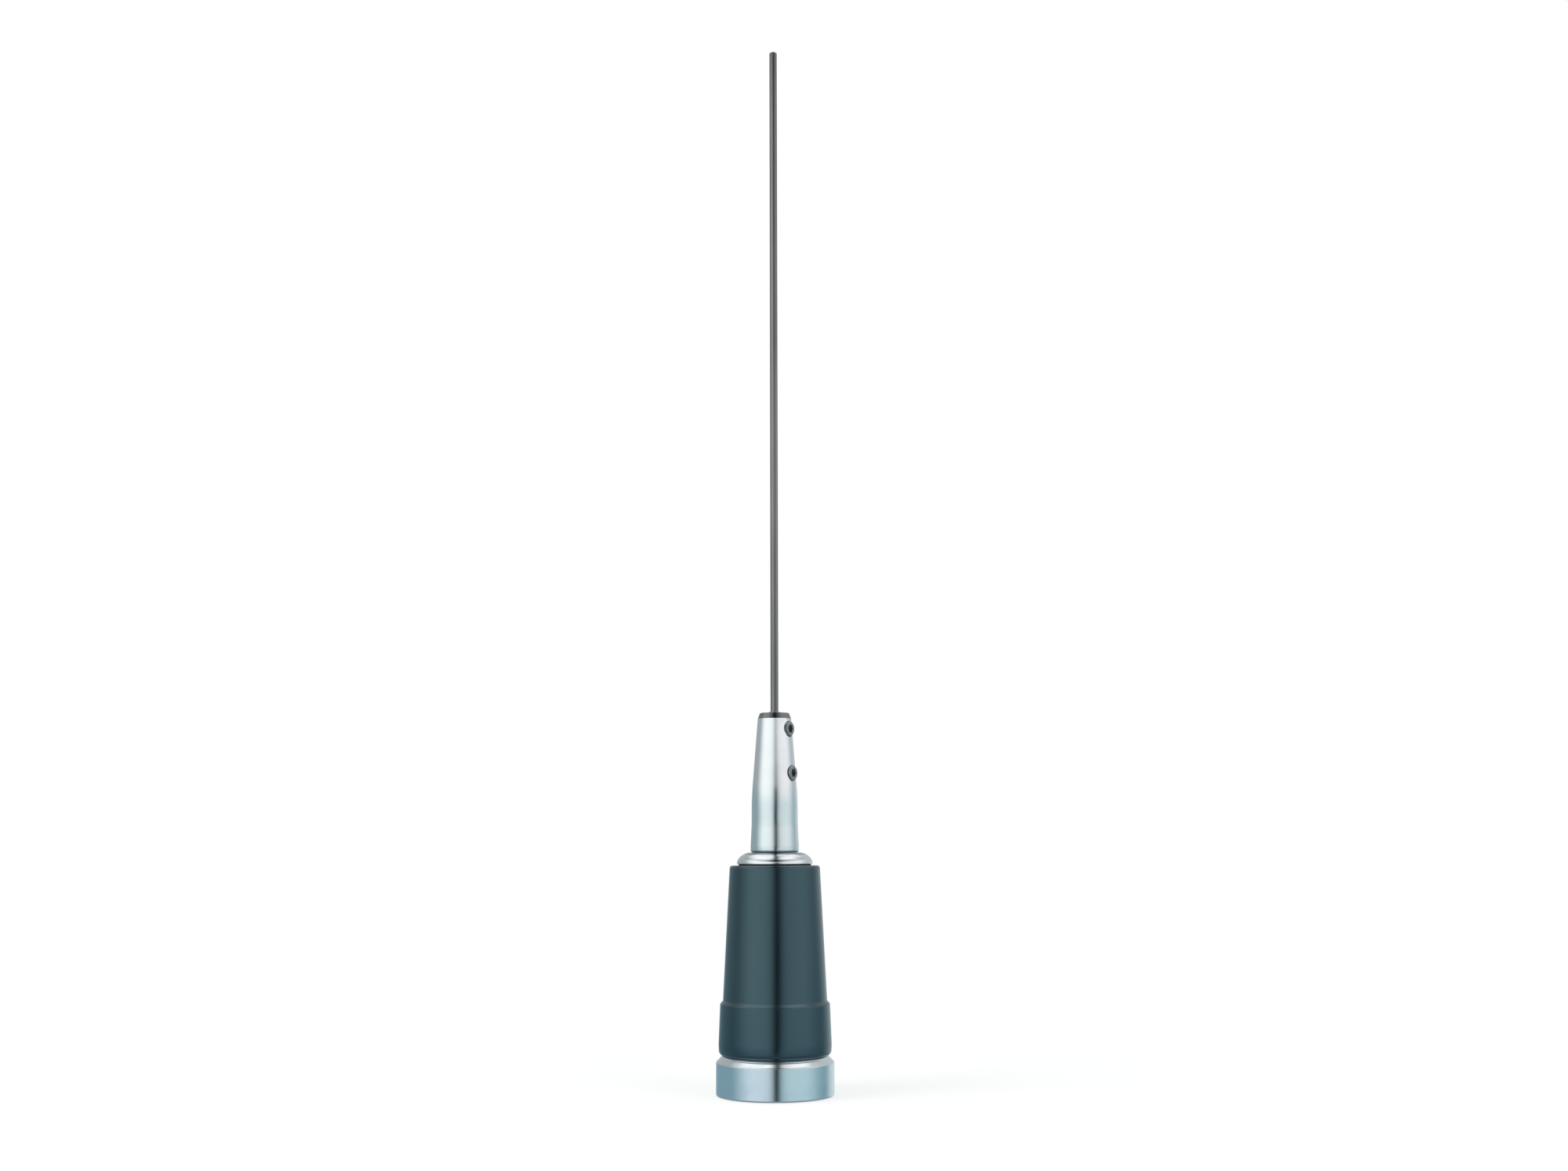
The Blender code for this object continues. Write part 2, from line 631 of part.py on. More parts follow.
def make_ferrule(chrome):
    tapped = stud_radius + SLIDE_GAP
    bore = whip_radius + SLIDE_GAP
    lip = bore + FERRULE_LIP_WALL
    lip_top = ferrule_top + FERRULE_LIP_HEIGHT
    # A shallow rim comes down round the lock washer and hides it.
    rim = lock_washer_radius + SEAT_GAP
    rim_bottom = dome_top + SEAT_GAP
    corners = [
        (0, tap_end),
        (tapped, tap_end),
        (tapped, ferrule_foot),
        (rim, ferrule_foot),
        (rim, rim_bottom),
        (foot_radius, rim_bottom, FERRULE_FOOT_ROUND),
        (foot_radius, ferrule_foot + FERRULE_FOOT_HEIGHT),
        (barrel_radius, ferrule_foot + 2 * FERRULE_FOOT_HEIGHT),
        (barrel_radius, taper_foot, FERRULE_TAPER_ROUND),
        (tip_radius, taper_top),
        (tip_radius - FERRULE_TIP_CHAMFER, ferrule_top),
        (lip, ferrule_top),
        (lip, lip_top),
        (bore, lip_top),
        (bore, whip_floor),
        (0, whip_floor),
    ]
    ferrule = turned("ferrule", corners, SEGMENTS_MEDIUM, chrome)
    hole = screw_radius + SLIDE_GAP
    for place_name, height in (("upper", upper_screw_height), ("lower", lower_screw_height)):
        surface = taper_radius(height) - whip_radius
        cutter = [
            (0, 0),
            (hole, 0),
            (hole, surface - SCREW_COUNTERSINK),
            (hole + SCREW_COUNTERSINK, surface),
            (hole + SCREW_COUNTERSINK, surface + barrel_radius),
            (0, surface + barrel_radius),
        ]
        stand = lay_along_x(whip_radius, height)
        cut(ferrule, turned(place_name + "_screw_hole", cutter, SEGMENTS_SMALL, chrome, stand))


def make_set_screw(name, height, steel):
    """A socket set screw with its point against the whip. Its origin is on the axis that it turns on."""
    tip = whip_radius + SEAT_GAP
    length = taper_radius(height) + SCREW_STAND - tip
    stand = lay_along_x(tip, height)
    corners = [
        (0, 0),
        (screw_radius - SCREW_POINT_CHAMFER, 0),
        (screw_radius, SCREW_POINT_CHAMFER),
        (screw_radius, length - SCREW_RIM_CHAMFER),
        (screw_radius - SCREW_RIM_CHAMFER, length),
        (0, length),
    ]
    screw = turned(name, corners, SEGMENTS_SMALL, steel, stand)
    corner_radius = SCREW_SOCKET_WIDTH / 2 / math.cos(math.pi / 6)
    floor = length - SCREW_SOCKET_DEPTH
    cut(screw, rod(name + "_socket", corner_radius, floor, length + SCREW_SOCKET_DEPTH, 6, steel, stand))


def make_whip(steel):
    corners = [
        (0, whip_foot),
        (whip_radius - WHIP_END_CHAMFER, whip_foot),
        (whip_radius, whip_foot + WHIP_END_CHAMFER),
        (whip_radius, whip_tip - WHIP_END_CHAMFER),
        (whip_radius - WHIP_END_CHAMFER, whip_tip),
        (0, whip_tip),
    ]
    turned("whip", corners, SEGMENTS_SMALL, steel)


def main():
    for leftover in list(bpy.data.objects):
        bpy.data.objects.remove(leftover)

    chrome = material("chrome_plate", (0.78, 0.81, 0.83), 1, 0.08)
    moulding = material("black_moulding", (0.010, 0.018, 0.020), 0, 0.2)
    rubber = material("rubber", (0.02, 0.02, 0.02), 0, 0.7)
    whip_steel = material("whip_steel", (0.36, 0.36, 0.36), 1, 0.35)
    screw_steel = material("screw_steel", (0.32, 0.33, 0.34), 1, 0.35)
    brass = material("brass", (0.72, 0.53, 0.24), 1, 0.3)
    gold = material("gold_plate", (0.83, 0.62, 0.25), 1, 0.2)
    copper = material("enamelled_copper", (0.55, 0.21, 0.08), 0.8, 0.3)
    nylon = material("nylon", (0.75, 0.72, 0.63), 0, 0.5)
    laminate = material("laminate", (0.42, 0.40, 0.20), 0, 0.45)

    make_coupling_ring(chrome)
    make_base_seal(rubber)
    make_base_board(laminate)
    make_contact(brass, gold, screw_steel)
    make_housing(moulding)
    make_coil_former(nylon)
    make_winding(copper)
    make_tap_lead(copper)
    make_top_terminal(chrome)
    make_solder_tag(brass)
    make_terminal_stack(rubber, screw_steel, brass)
    make_lock_washer(screw_steel)
    make_ferrule(chrome)
    make_set_screw("set_screw_upper", upper_screw_height, screw_steel)
    make_set_screw("set_screw_lower", lower_screw_height, screw_steel)
    make_whip(whip_steel)


main()
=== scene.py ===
import math
import bmesh
import bpy
from mathutils import Matrix, Vector


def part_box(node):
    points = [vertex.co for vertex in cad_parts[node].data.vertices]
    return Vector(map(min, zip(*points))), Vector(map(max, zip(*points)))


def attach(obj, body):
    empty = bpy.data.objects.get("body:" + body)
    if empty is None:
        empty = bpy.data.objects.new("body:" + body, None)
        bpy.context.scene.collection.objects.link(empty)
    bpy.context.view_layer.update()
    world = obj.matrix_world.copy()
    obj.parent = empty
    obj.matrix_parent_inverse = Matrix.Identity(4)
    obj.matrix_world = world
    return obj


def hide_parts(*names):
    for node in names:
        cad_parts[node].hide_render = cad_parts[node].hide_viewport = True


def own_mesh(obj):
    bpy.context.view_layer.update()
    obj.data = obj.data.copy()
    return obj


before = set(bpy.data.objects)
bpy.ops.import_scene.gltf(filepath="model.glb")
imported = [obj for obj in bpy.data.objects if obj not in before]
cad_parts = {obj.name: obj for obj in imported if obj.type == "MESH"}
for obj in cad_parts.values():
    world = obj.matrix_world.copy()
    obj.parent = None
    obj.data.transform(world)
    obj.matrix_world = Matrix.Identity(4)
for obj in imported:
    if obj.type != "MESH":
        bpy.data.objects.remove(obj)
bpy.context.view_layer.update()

mm = 0.001  # every size below is in mm, and meshes are scaled once, in addPiece
inch = 25.4


# Shaders

class Value:
    # one socket of a material, on which + - * / and ** add Math nodes
    def __init__(self, finish, socket):
        self.finish = finish
        self.socket = socket

    def sum(self, operation, first, second):
        return self.finish.node("Math", {"operation": operation}, {0: first, 1: second})

    def __add__(self, other):
        return self.sum("ADD", self, other)

    def __radd__(self, other):
        return self.sum("ADD", other, self)

    def __sub__(self, other):
        return self.sum("SUBTRACT", self, other)

    def __rsub__(self, other):
        return self.sum("SUBTRACT", other, self)

    def __mul__(self, other):
        return self.sum("MULTIPLY", self, other)

    def __rmul__(self, other):
        return self.sum("MULTIPLY", other, self)

    def __truediv__(self, other):
        return self.sum("DIVIDE", self, other)

    def __rtruediv__(self, other):
        return self.sum("DIVIDE", other, self)

    def __pow__(self, other):
        return self.sum("POWER", self, other)

    def __abs__(self):
        return self.sum("ABSOLUTE", self, 0)

    def between(self, low, high):
        # 0 below low, 1 above high and a soft step between them
        return self.finish.node(
            "MapRange",
            {"interpolation_type": "SMOOTHSTEP"},
            {0: self, 1: low, 2: high},
        )


class Finish:
    # a material with one Principled shader
    def __init__(self, name):
        self.material = bpy.data.materials.new(name)
        self.material.use_nodes = True
        self.tree = self.material.node_tree
        self.shader = self.tree.nodes["Principled BSDF"]

    def feed(self, socket, value):
        if isinstance(value, Value):
            self.tree.links.new(value.socket, socket)
        elif socket.type == "RGBA":
            socket.default_value = (*value, 1)
        else:
            socket.default_value = value

    def node(self, kind, settings=None, inputs=None, output=0):
        made = self.tree.nodes.new("ShaderNode" + kind)
        for key, value in (settings or {}).items():
            setattr(made, key, value)
        for key, value in (inputs or {}).items():
            self.feed(made.inputs[key], value)
        return Value(self, made.outputs[output])

    def surface(self, **values):
        # values for the Principled shader's own sockets, with _ for the spaces
        for key, value in values.items():
            self.feed(self.shader.inputs[key.replace("_", " ")], value)
        return self.material

    def mix(self, first, second, share):
        # between two colours
        return self.node("Mix", {"data_type": "RGBA"}, {0: share, 6: first, 7: second}, 2)

    def numbers(self, point):
        # x, y and z
        parts = self.tree.nodes.new("ShaderNodeSeparateXYZ")
        self.feed(parts.inputs[0], point)
        return [Value(self, socket) for socket in parts.outputs]

    def place(self):
        # the point on the piece in mm, and its height and distance from the upright axis
        point = self.node("TexCoord", output="Object")
        scaled = self.node("VectorMath", {"operation": "SCALE"}, {0: point, "Scale": 1 / mm})
        x, y, height = self.numbers(scaled)
        return scaled, height, (x * x + y * y) ** 0.5

    def cloud(self, point, size, detail=3, stretch=None):
        # soft noise with features of that size in mm
        if stretch:
            point = self.node("VectorMath", {"operation": "MULTIPLY"}, {0: point, 1: stretch})
        return self.node("TexNoise", {}, {"Vector": point, "Scale": 1 / size, "Detail": detail})

    def lines(self, position, size, detail=2):
        # noise in one direction only, for the marks that a tool leaves
        settings = {"noise_dimensions": "1D"}
        return self.node("TexNoise", settings, {"W": position, "Scale": 1 / size, "Detail": detail})

    def bump(self, height, depth, strength=1):
        # depth in mm
        inputs = {"Height": height, "Distance": depth * mm, "Strength": strength}
        return self.node("Bump", {}, inputs)


chromeLook = {
    "colour": (0.79, 0.82, 0.84),
    "dullColour": (0.70, 0.75, 0.78),
    "roughness": 0.09,
    "cloudSize": 6.0,
    "turningSize": 0.16,  # spacing of the fine turning marks under the plating
    "turningDepth": 0.0006,
    "darkColour": (0.26, 0.265, 0.27),  # painted dark reflection on the ferrule's chamfer, and painted shade in the joint between its foot and the dome
    "tip": (120.25, 120.4),  # heights between which each of them begins and ends
    "jointShadeFoot": (75.9, 76.3),
    "jointShadeHead": (76.6, 77.8),
}


def chromePlate():
    look = chromeLook
    finish = Finish("chrome_plate")
    point, height, radius = finish.place()
    haze = finish.cloud(point, look["cloudSize"], 4)
    grain = finish.cloud(point, 0.35, 2)
    marks = finish.lines(height + radius, look["turningSize"])
    colour = finish.mix(look["colour"], look["dullColour"], haze.between(0.5, 0.85))
    # painted shade in the joint under the ferrule's rim, and above the tip height a painted dark reflection
    # on the ferrule's chamfer
    jointShade = height.between(*look["jointShadeFoot"]) * (1 - height.between(*look["jointShadeHead"]))
    colour = finish.mix(colour, look["darkColour"], height.between(*look["tip"]) + jointShade * 0.85)
    return finish.surface(
        Base_Color=colour,
        Metallic=1,
        Roughness=look["roughness"] + haze * 0.06 + grain * 0.02,
        Normal=finish.bump(marks * 0.8 + grain * 0.2, look["turningDepth"]),
    )


mouldingLook = {
    "colour": (0.0030, 0.0070, 0.0080),
    "paleColour": (0.0055, 0.0105, 0.0120),
    "sheen": (0.52, 0.82, 0.96),  # the gloss has a blue-green cast
    "roughness": 0.10,
    "skinSize": 0.28,  # the mould's fine texture
    "skinDepth": 0.0012,
}


def blackMoulding():
    look = mouldingLook
    finish = Finish("black_moulding")
    point, height, radius = finish.place()
    skin = finish.cloud(point, look["skinSize"], 3)
    flow = finish.cloud(point, 9, 4, (1, 1, 0.35))
    dust = finish.cloud(point, 0.9, 2).between(0.68, 0.78)
    pale = flow.between(0.35, 0.7) * 0.7 + dust * 0.3
    return finish.surface(
        Base_Color=finish.mix(look["colour"], look["paleColour"], pale),
        Roughness=look["roughness"] + flow * 0.05 + skin * 0.03 + dust * 0.05,
        Specular_IOR_Level=1.0,
        Specular_Tint=look["sheen"],
        IOR=1.66,
        Normal=finish.bump(skin, look["skinDepth"]),
    )


rubberLook = {"colour": (0.016, 0.016, 0.017), "bloomColour": (0.045, 0.046, 0.048), "roughness": 0.72}


def sealRubber():
    look = rubberLook
    finish = Finish("seal_rubber")
    point, height, radius = finish.place()
    bloom = finish.cloud(point, 2.4, 5)
    grain = finish.cloud(point, 0.18, 2)
    return finish.surface(
        Base_Color=finish.mix(look["colour"], look["bloomColour"], bloom.between(0.45, 0.8)),
        Roughness=look["roughness"] + grain * 0.15,
        Normal=finish.bump(grain, 0.01, 0.6),
    )


whipLook = {
    "colour": (0.27, 0.265, 0.26),
    "darkColour": (0.20, 0.198, 0.195),
    "roughness": 0.19,
    "drawSize": 0.06,  # width of the lines that the drawing die leaves along the rod
    "darkReflectionColour": (0.09, 0.09, 0.09),  # a painted dark reflection, a darker streak along the rod at this angle round from +X
    "darkReflectionAngle": -35,
    "darkReflectionWidth": 13,
}


def drawnSteel():
    look = whipLook
    finish = Finish("drawn_steel")
    point, height, radius = finish.place()
    drawn = finish.cloud(point, look["drawSize"], 2, (1, 1, 0.004))
    stain = finish.cloud(point, 3.5, 4, (1, 1, 0.12))
    colour = finish.mix(look["colour"], look["darkColour"], stain.between(0.35, 0.7) * 0.6 + drawn * 0.4)
    x, y = finish.numbers(point)[:2]
    angle = finish.node("Math", {"operation": "ARCTAN2"}, {0: y, 1: x}) * (180 / math.pi)
    # painted dark reflection: a darker streak along one side of the rod, mottled by the stain
    darkReflection = 1 - abs(angle - look["darkReflectionAngle"]).between(0, look["darkReflectionWidth"])
    return finish.surface(
        Base_Color=finish.mix(colour, look["darkReflectionColour"], darkReflection * (0.7 + stain * 0.4)),
        Metallic=1,
        Roughness=look["roughness"] + drawn * 0.08,
        Normal=finish.bump(drawn, 0.0008),
    )


screwLook = {"colour": (0.36, 0.365, 0.37), "wornColour": (0.52, 0.52, 0.52), "roughness": 0.36}


def screwSteel():
    look = screwLook
    finish = Finish("screw_steel")
    point, height, radius = finish.place()
    rub = finish.cloud(point, 0.8, 5)
    grain = finish.cloud(point, 0.12, 2)
    return finish.surface(
        Base_Color=finish.mix(look["colour"], look["wornColour"], rub.between(0.58, 0.75) * 0.6),
        Metallic=1,
        Roughness=look["roughness"] + grain * 0.12,
        Normal=finish.bump(grain, 0.002),
    )


def turnedMetal(name, colour, dark, roughness):
    # brass, or brass with a gold flash, straight from the lathe
    finish = Finish(name)
    point, height, radius = finish.place()
    tarnish = finish.cloud(point, 1.6, 5)
    marks = finish.lines(height + radius, 0.08)
    return finish.surface(
        Base_Color=finish.mix(colour, dark, tarnish.between(0.45, 0.8)),
        Metallic=1,
        Roughness=roughness + tarnish * 0.14,
        Normal=finish.bump(marks, 0.0015),
    )


copperLook = {"colour": (0.50, 0.17, 0.06), "darkColour": (0.33, 0.09, 0.03), "roughness": 0.3}


def enamelCopper():
    look = copperLook
    finish = Finish("enamel_copper")
    point, height, radius = finish.place()
    flow = finish.cloud(point, 2.2, 4)
    return finish.surface(
        Base_Color=finish.mix(look["colour"], look["darkColour"], flow.between(0.4, 0.75)),
        Metallic=0.85,
        Roughness=look["roughness"] + flow * 0.1,
        Coat_Weight=0.7,
        Coat_Roughness=0.08,
        Normal=finish.bump(flow, 0.01),
    )


nylonLook = {"colour": (0.72, 0.69, 0.60), "warmColour": (0.66, 0.60, 0.47), "roughness": 0.45}


def naturalNylon():
    look = nylonLook
    finish = Finish("natural_nylon")
    point, height, radius = finish.place()
    flow = finish.cloud(point, 5, 4)
    skin = finish.cloud(point, 0.3, 2)
    return finish.surface(
        Base_Color=finish.mix(look["colour"], look["warmColour"], flow.between(0.4, 0.8)),
        Roughness=look["roughness"] + skin * 0.1,
        Subsurface_Weight=0.1,
        Subsurface_Scale=0.002,
        Normal=finish.bump(skin, 0.004),
    )


boardLook = {
    "colour": (0.03, 0.115, 0.055),  # lacquer over the glass cloth
    "weaveColour": (0.045, 0.15, 0.07),
    "weaveSize": 0.45,
    "tinColour": (0.62, 0.62, 0.60),
    "padRadius": 6.9,  # tinned pad round the contact
    "rimRadius": 12.2,  # tinned ring that meets the coupling ring's shoulder
}


def boardLaminate():
    look = boardLook
    finish = Finish("board_laminate")
    point, height, radius = finish.place()
    strands = []
    for along in finish.numbers(point)[:2]:
        turn = along * (2 * math.pi / look["weaveSize"])
        strands.append(finish.node("Math", {"operation": "SINE"}, {0: turn}))
    weave = (strands[0] * strands[1] + 1) * 0.5
    pad = 1 - radius.between(look["padRadius"] - 0.05, look["padRadius"] + 0.05)
    rim = radius.between(look["rimRadius"] - 0.05, look["rimRadius"] + 0.05)
    tin = pad + rim
    solder = finish.cloud(point, 0.7, 4)
    lacquer = finish.mix(look["colour"], look["weaveColour"], weave)
    return finish.surface(
        Base_Color=finish.mix(lacquer, look["tinColour"], tin),
        Metallic=tin,
        Roughness=0.3 + tin * 0.12 + solder * 0.12,
        Normal=finish.bump(weave * (1 - tin) + solder * tin, 0.012),
    )


print("finishes")
chrome = chromePlate()
moulding = blackMoulding()
rubber = sealRubber()
steelRod = drawnSteel()
steel = screwSteel()
brass = turnedMetal("turned_brass", (0.72, 0.53, 0.24), (0.50, 0.34, 0.14), 0.24)
gold = turnedMetal("gold_flash", (0.86, 0.64, 0.27), (0.74, 0.50, 0.18), 0.14)
copper = enamelCopper()
nylon = naturalNylon()
laminate = boardLaminate()


# Shapes

def span(node):
    # a node's lowest point, highest point and reach along +X, in mm
    low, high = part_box(node)
    return low.z / mm, high.z / mm, high.x / mm


def fillet(before, corner, after, radius, steps):
    corner = Vector(corner)
    back = Vector(before) - corner
    ahead = Vector(after) - corner
    half = back.angle(ahead) / 2
    reach = min(radius / math.tan(half), back.length * 0.48, ahead.length * 0.48)
    back.normalize()
    ahead.normalize()
    centre = corner + (back + ahead).normalized() * (reach / math.cos(half))
    start = corner + back * reach - centre
    end = corner + ahead * reach - centre
    first = math.atan2(start.y, start.x)
    turn = (math.atan2(end.y, end.x) - first + math.pi) % (2 * math.pi) - math.pi
    size = start.length
    angles = [first + turn * step / steps for step in range(steps + 1)]
    return [(centre.x + size * math.cos(a), centre.y + size * math.sin(a)) for a in angles]


def outline(corners, closed=True, steps=6):
    # (radius, height) or (radius, height, rounding) corners, as points; the ends of long lines get a point
    # close to each corner, so that smooth shading stays flat between them
    points = []
    for index, corner in enumerate(corners):
        if len(corner) == 2:
            points.append(corner)
        else:
            after = corners[(index + 1) % len(corners)]
            points += fillet(corners[index - 1][:2], corner[:2], after[:2], corner[2], steps)
    steady = []
    for index, point in enumerate(points):
        steady.append(point)
        if index == len(points) - 1 and not closed:
            break
        near, far = Vector(point), Vector(points[(index + 1) % len(points)])
        if (far - near).length > 0.8:
            step = (far - near).normalized() * 0.1
            steady += [tuple(near + step), tuple(far - step)]
    return steady


def spin(shape, points, segments=160, closed=True):
    # turns an outline round Z; a radius may be a function of the angle, and 0 is a pole
    angles = [2 * math.pi * index / segments for index in range(segments)]
    rings = []
    for radius, height in points:
        if callable(radius):
            reach = [radius(a) for a in angles]
        elif radius < 1e-6:
            rings.append([shape.verts.new((0, 0, height))] * segments)
            continue
        else:
            reach = [radius] * segments
        ring = [(r * math.cos(a), r * math.sin(a), height) for r, a in zip(reach, angles)]
        rings.append([shape.verts.new(point) for point in ring])
    pairs = list(zip(rings, rings[1:]))
    if closed:
        pairs.append((rings[-1], rings[0]))
    for lower, upper in pairs:
        for index in range(segments):
            after = (index + 1) % segments
            corners = dict.fromkeys([lower[index], lower[after], upper[after], upper[index]])
            if len(corners) > 2:
                shape.faces.new(list(corners))


def addThread(shape, radius, depth, pitch, bottom, top, segments=160):
    # a right-handed helical wall between two plain circles of that radius; a negative depth cuts outwards
    profile = ((0, 0), (0.14, 0), (0.46, 1), (0.68, 1))  # share of the pitch, share of the depth
    rows = []
    for turn in range(math.ceil((top - bottom) / pitch) + 2):
        for share, groove in profile:
            row = []
            for index in range(segments + 1):
                angle = 2 * math.pi * index / segments
                height = bottom + (turn - 1 + share + index / segments) * pitch
                held = min(max(height, bottom), top)
                fade = min(1, max(0, min(height - bottom, top - height) / (0.6 * pitch)))
                reach = radius - depth * groove * fade
                row.append(shape.verts.new((reach * math.cos(angle), reach * math.sin(angle), held)))
            rows.append(row)
    for lower, upper in zip(rows, rows[1:]):
        for index in range(segments):
            corners = [lower[index], lower[index + 1], upper[index + 1], upper[index]]
            heights = {round(corner.co.z, 6) for corner in corners}
            if heights not in ({round(bottom, 6)}, {round(top, 6)}):
                shape.faces.new(corners)


def hexRadius(width):
    # the distance to the side of a hexagon that measures width across its flats
    def reach(angle):
        return width / 2 / math.cos((angle + math.pi / 6) % (math.pi / 3) - math.pi / 6)
    return reach


def weld(shape):
    bmesh.ops.remove_doubles(shape, verts=shape.verts, dist=0.0004)
    bmesh.ops.dissolve_degenerate(shape, edges=shape.edges, dist=0.0002)
    bmesh.ops.recalc_face_normals(shape, faces=shape.faces)


def addPiece(name, shape, finish, body, nodes=(), sharp=30, stand=None):
    # a bmesh in mm becomes a piece that rides on a body and stands for CAD nodes
    weld(shape)
    shape.transform(Matrix.Scale(mm, 4) @ (stand or Matrix()))
    mesh = bpy.data.meshes.new(name)
    shape.to_mesh(mesh)
    shape.free()
    mesh.shade_smooth()
    mesh.set_sharp_from_angle(angle=math.radians(sharp))
    mesh.materials.append(finish)
    piece = bpy.data.objects.new(name, mesh)
    bpy.context.scene.collection.objects.link(piece)
    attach(piece, body)
    if nodes:
        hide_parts(*nodes)
    return piece


def turned(name, corners, finish, body, nodes, segments=160, closed=True):
    shape = bmesh.new()
    spin(shape, outline(corners, closed), segments, closed)
    return addPiece(name, shape, finish, body, nodes)


def tube(shape, path, radius, sides=16):
    # a round wire along a path of points, with flat ends
    points = [Vector(point) for point in path]
    ahead = (points[1] - points[0]).normalized()
    across = ahead.orthogonal().normalized()
    rings = []
    for index, point in enumerate(points):
        near, far = points[max(index - 1, 0)], points[min(index + 1, len(points) - 1)]
        following = (far - near).normalized()
        across = ahead.rotation_difference(following) @ across
        across = (across - following * across.dot(following)).normalized()
        ahead = following
        side = ahead.cross(across)
        ring = []
        for step in range(sides):
            angle = 2 * math.pi * step / sides
            out = across * math.cos(angle) + side * math.sin(angle)
            ring.append(shape.verts.new(point + out * radius))
        rings.append(ring)
    for lower, upper in zip(rings, rings[1:]):
        for step in range(sides):
            after = (step + 1) % sides
            shape.faces.new([lower[step], lower[after], upper[after], upper[step]])
    shape.faces.new(rings[0][::-1])
    shape.faces.new(rings[-1])


def dress(node, finish):
    # a CAD node that keeps its own shape gets the fuller finish
    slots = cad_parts[node].material_slots
    for each in slots:
        each.material = finish


# Coil unit

ringSize = {
    "threadRadius": 13.9,  # halfway up the thread's flanks
    "threadPitch": inch / 18,
    "threadDepth": 0.8,
    "leadIn": 0.6,
    "shoulder": 7.0,
    "pocketRadius": 16.0,
    # under the housing's foot the ring flares out to its rim, steep at first and then at 45 degrees
    "flare": ((17.5, 11.85, 1.0), (18.1, 11.25, 1.0), (18.8, 10.6, 0.3)),
    "collarTop": 17.0,
    "rim": 10.3,
    "rimRound": 0.4,
    "footRound": 0.5,
    "sealRadius": 16.45,
    "sealSection": 1.6,
    "sealRoom": 0.3,
}


def makeRing():
    size = ringSize
    foot, top, radius = span("coupling_ring")
    crest = size["threadRadius"] - size["threadDepth"] / 2
    groove = size["sealSection"] / 2 + size["sealRoom"]
    roof = size["sealSection"] + size["sealRoom"]
    inner, outer = size["sealRadius"] - groove, size["sealRadius"] + groove
    corners = [
        (crest, size["shoulder"]),
        (size["pocketRadius"], size["shoulder"]),
        (size["pocketRadius"], top),
        (size["collarTop"], top, 0.15),
        *size["flare"],
        (radius, size["rim"], size["rimRound"]),
        (radius, foot, size["footRound"]),
        (outer, foot, 0.12),
        (outer, roof),
        (inner, roof),
        (inner, foot, 0.12),
        (crest + size["leadIn"], foot, 0.12),
        (crest, size["leadIn"]),
    ]
    shape = bmesh.new()
    spin(shape, outline(corners, False, 8), 192, False)
    pitch, depth = size["threadPitch"], size["threadDepth"]
    addThread(shape, crest, -depth, pitch, size["leadIn"], size["shoulder"], 192)
    addPiece("ringShell", shape, chrome, "coil_unit", ["coupling_ring"])

    middle, half = size["sealRadius"], size["sealSection"] / 2
    angles = [2 * math.pi * step / 28 for step in range(28)]
    section = [(middle + half * math.cos(a), half + half * math.sin(a)) for a in angles]
    turned("footSeal", section, rubber, "coil_unit", ["base_seal"])


contactSize = {
    "padStep": 0.04,  # thickness of the tinned copper
    "padRadius": 6.9,
    "rimRadius": 12.2,
    "sleeveRadius": 3.0,
    "sleeveBore": 2.1,
    "sleeveFlange": 0.8,
    "lip": 1.1,
    "stemRadius": 1.5,
    "play": 0.15,
    "tipRound": 1.15,
    "collar": 1.5,
    "guideRadius": 0.9,
    "guideHeight": 2.0,
    "springWire": 0.36,
    "springTurns": 5,
    "travel": 2.0,
}


def makeContact():
    size = contactSize
    under, over, radius = span("base_board")
    step = size["padStep"]
    board = [
        (size["sleeveRadius"] + 0.3, under - step),
        (size["padRadius"], under - step, 0.03),
        (size["padRadius"], under),
        (size["rimRadius"], under),
        (size["rimRadius"], under - step, 0.03),
        (radius, under - step, 0.05),
        (radius, over, 0.1),
        (size["sleeveRadius"] + 0.3, over),
    ]
    turned("contactBoard", board, laminate, "coil_unit", ["base_board"])

    foot, top, flange = span("contact_sleeve")
    mouth = size["stemRadius"] + size["play"]
    sleeve = [
        (mouth, foot, 0.12),
        (flange, foot, 0.2),
        (flange, foot + size["sleeveFlange"], 0.06),
        (size["sleeveRadius"], foot + size["sleeveFlange"]),
        (size["sleeveRadius"], top, 0.15),
        (size["sleeveBore"], top, 0.1),
        (size["sleeveBore"], foot + size["lip"]),
        (mouth, foot + size["lip"]),
    ]
    turned("contactSleeve", sleeve, brass, "coil_unit", ["contact_sleeve"], 128)

    tip, end, slider = span("contact_plunger")
    collar = end - size["guideHeight"] - size["collar"]
    pin = [
        (0, tip),
        (size["stemRadius"], tip, size["tipRound"]),
        (size["stemRadius"], collar),
        (slider, collar, 0.1),
        (slider, collar + size["collar"], 0.1),
        (size["guideRadius"], collar + size["collar"]),
        (size["guideRadius"], end, 0.2),
        (0, end),
    ]
    turned("contactPin", pin, gold, "contact", ["contact_plunger"], 96, False)

    low, high = span("contact_spring")[:2]
    wire = size["springWire"] / 2
    middle = (size["guideRadius"] + size["sleeveBore"]) / 2
    steps = size["springTurns"] * 36
    path = []
    for index in range(steps + 1):
        angle = 2 * math.pi * index / 36
        # the end turns lie close, as on a ground spring
        share = index / steps
        eased = share * share * (3 - 2 * share) * 0.35 + share * 0.65
        height = low + wire + (high - low - 2 * wire) * eased
        path.append((middle * math.cos(angle), middle * math.sin(angle), height))
    shape = bmesh.new()
    tube(shape, path, wire, 12)
    spring = addPiece("contactCoil", shape, steel, "coil_unit", ["contact_spring"], 60)
    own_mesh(spring)


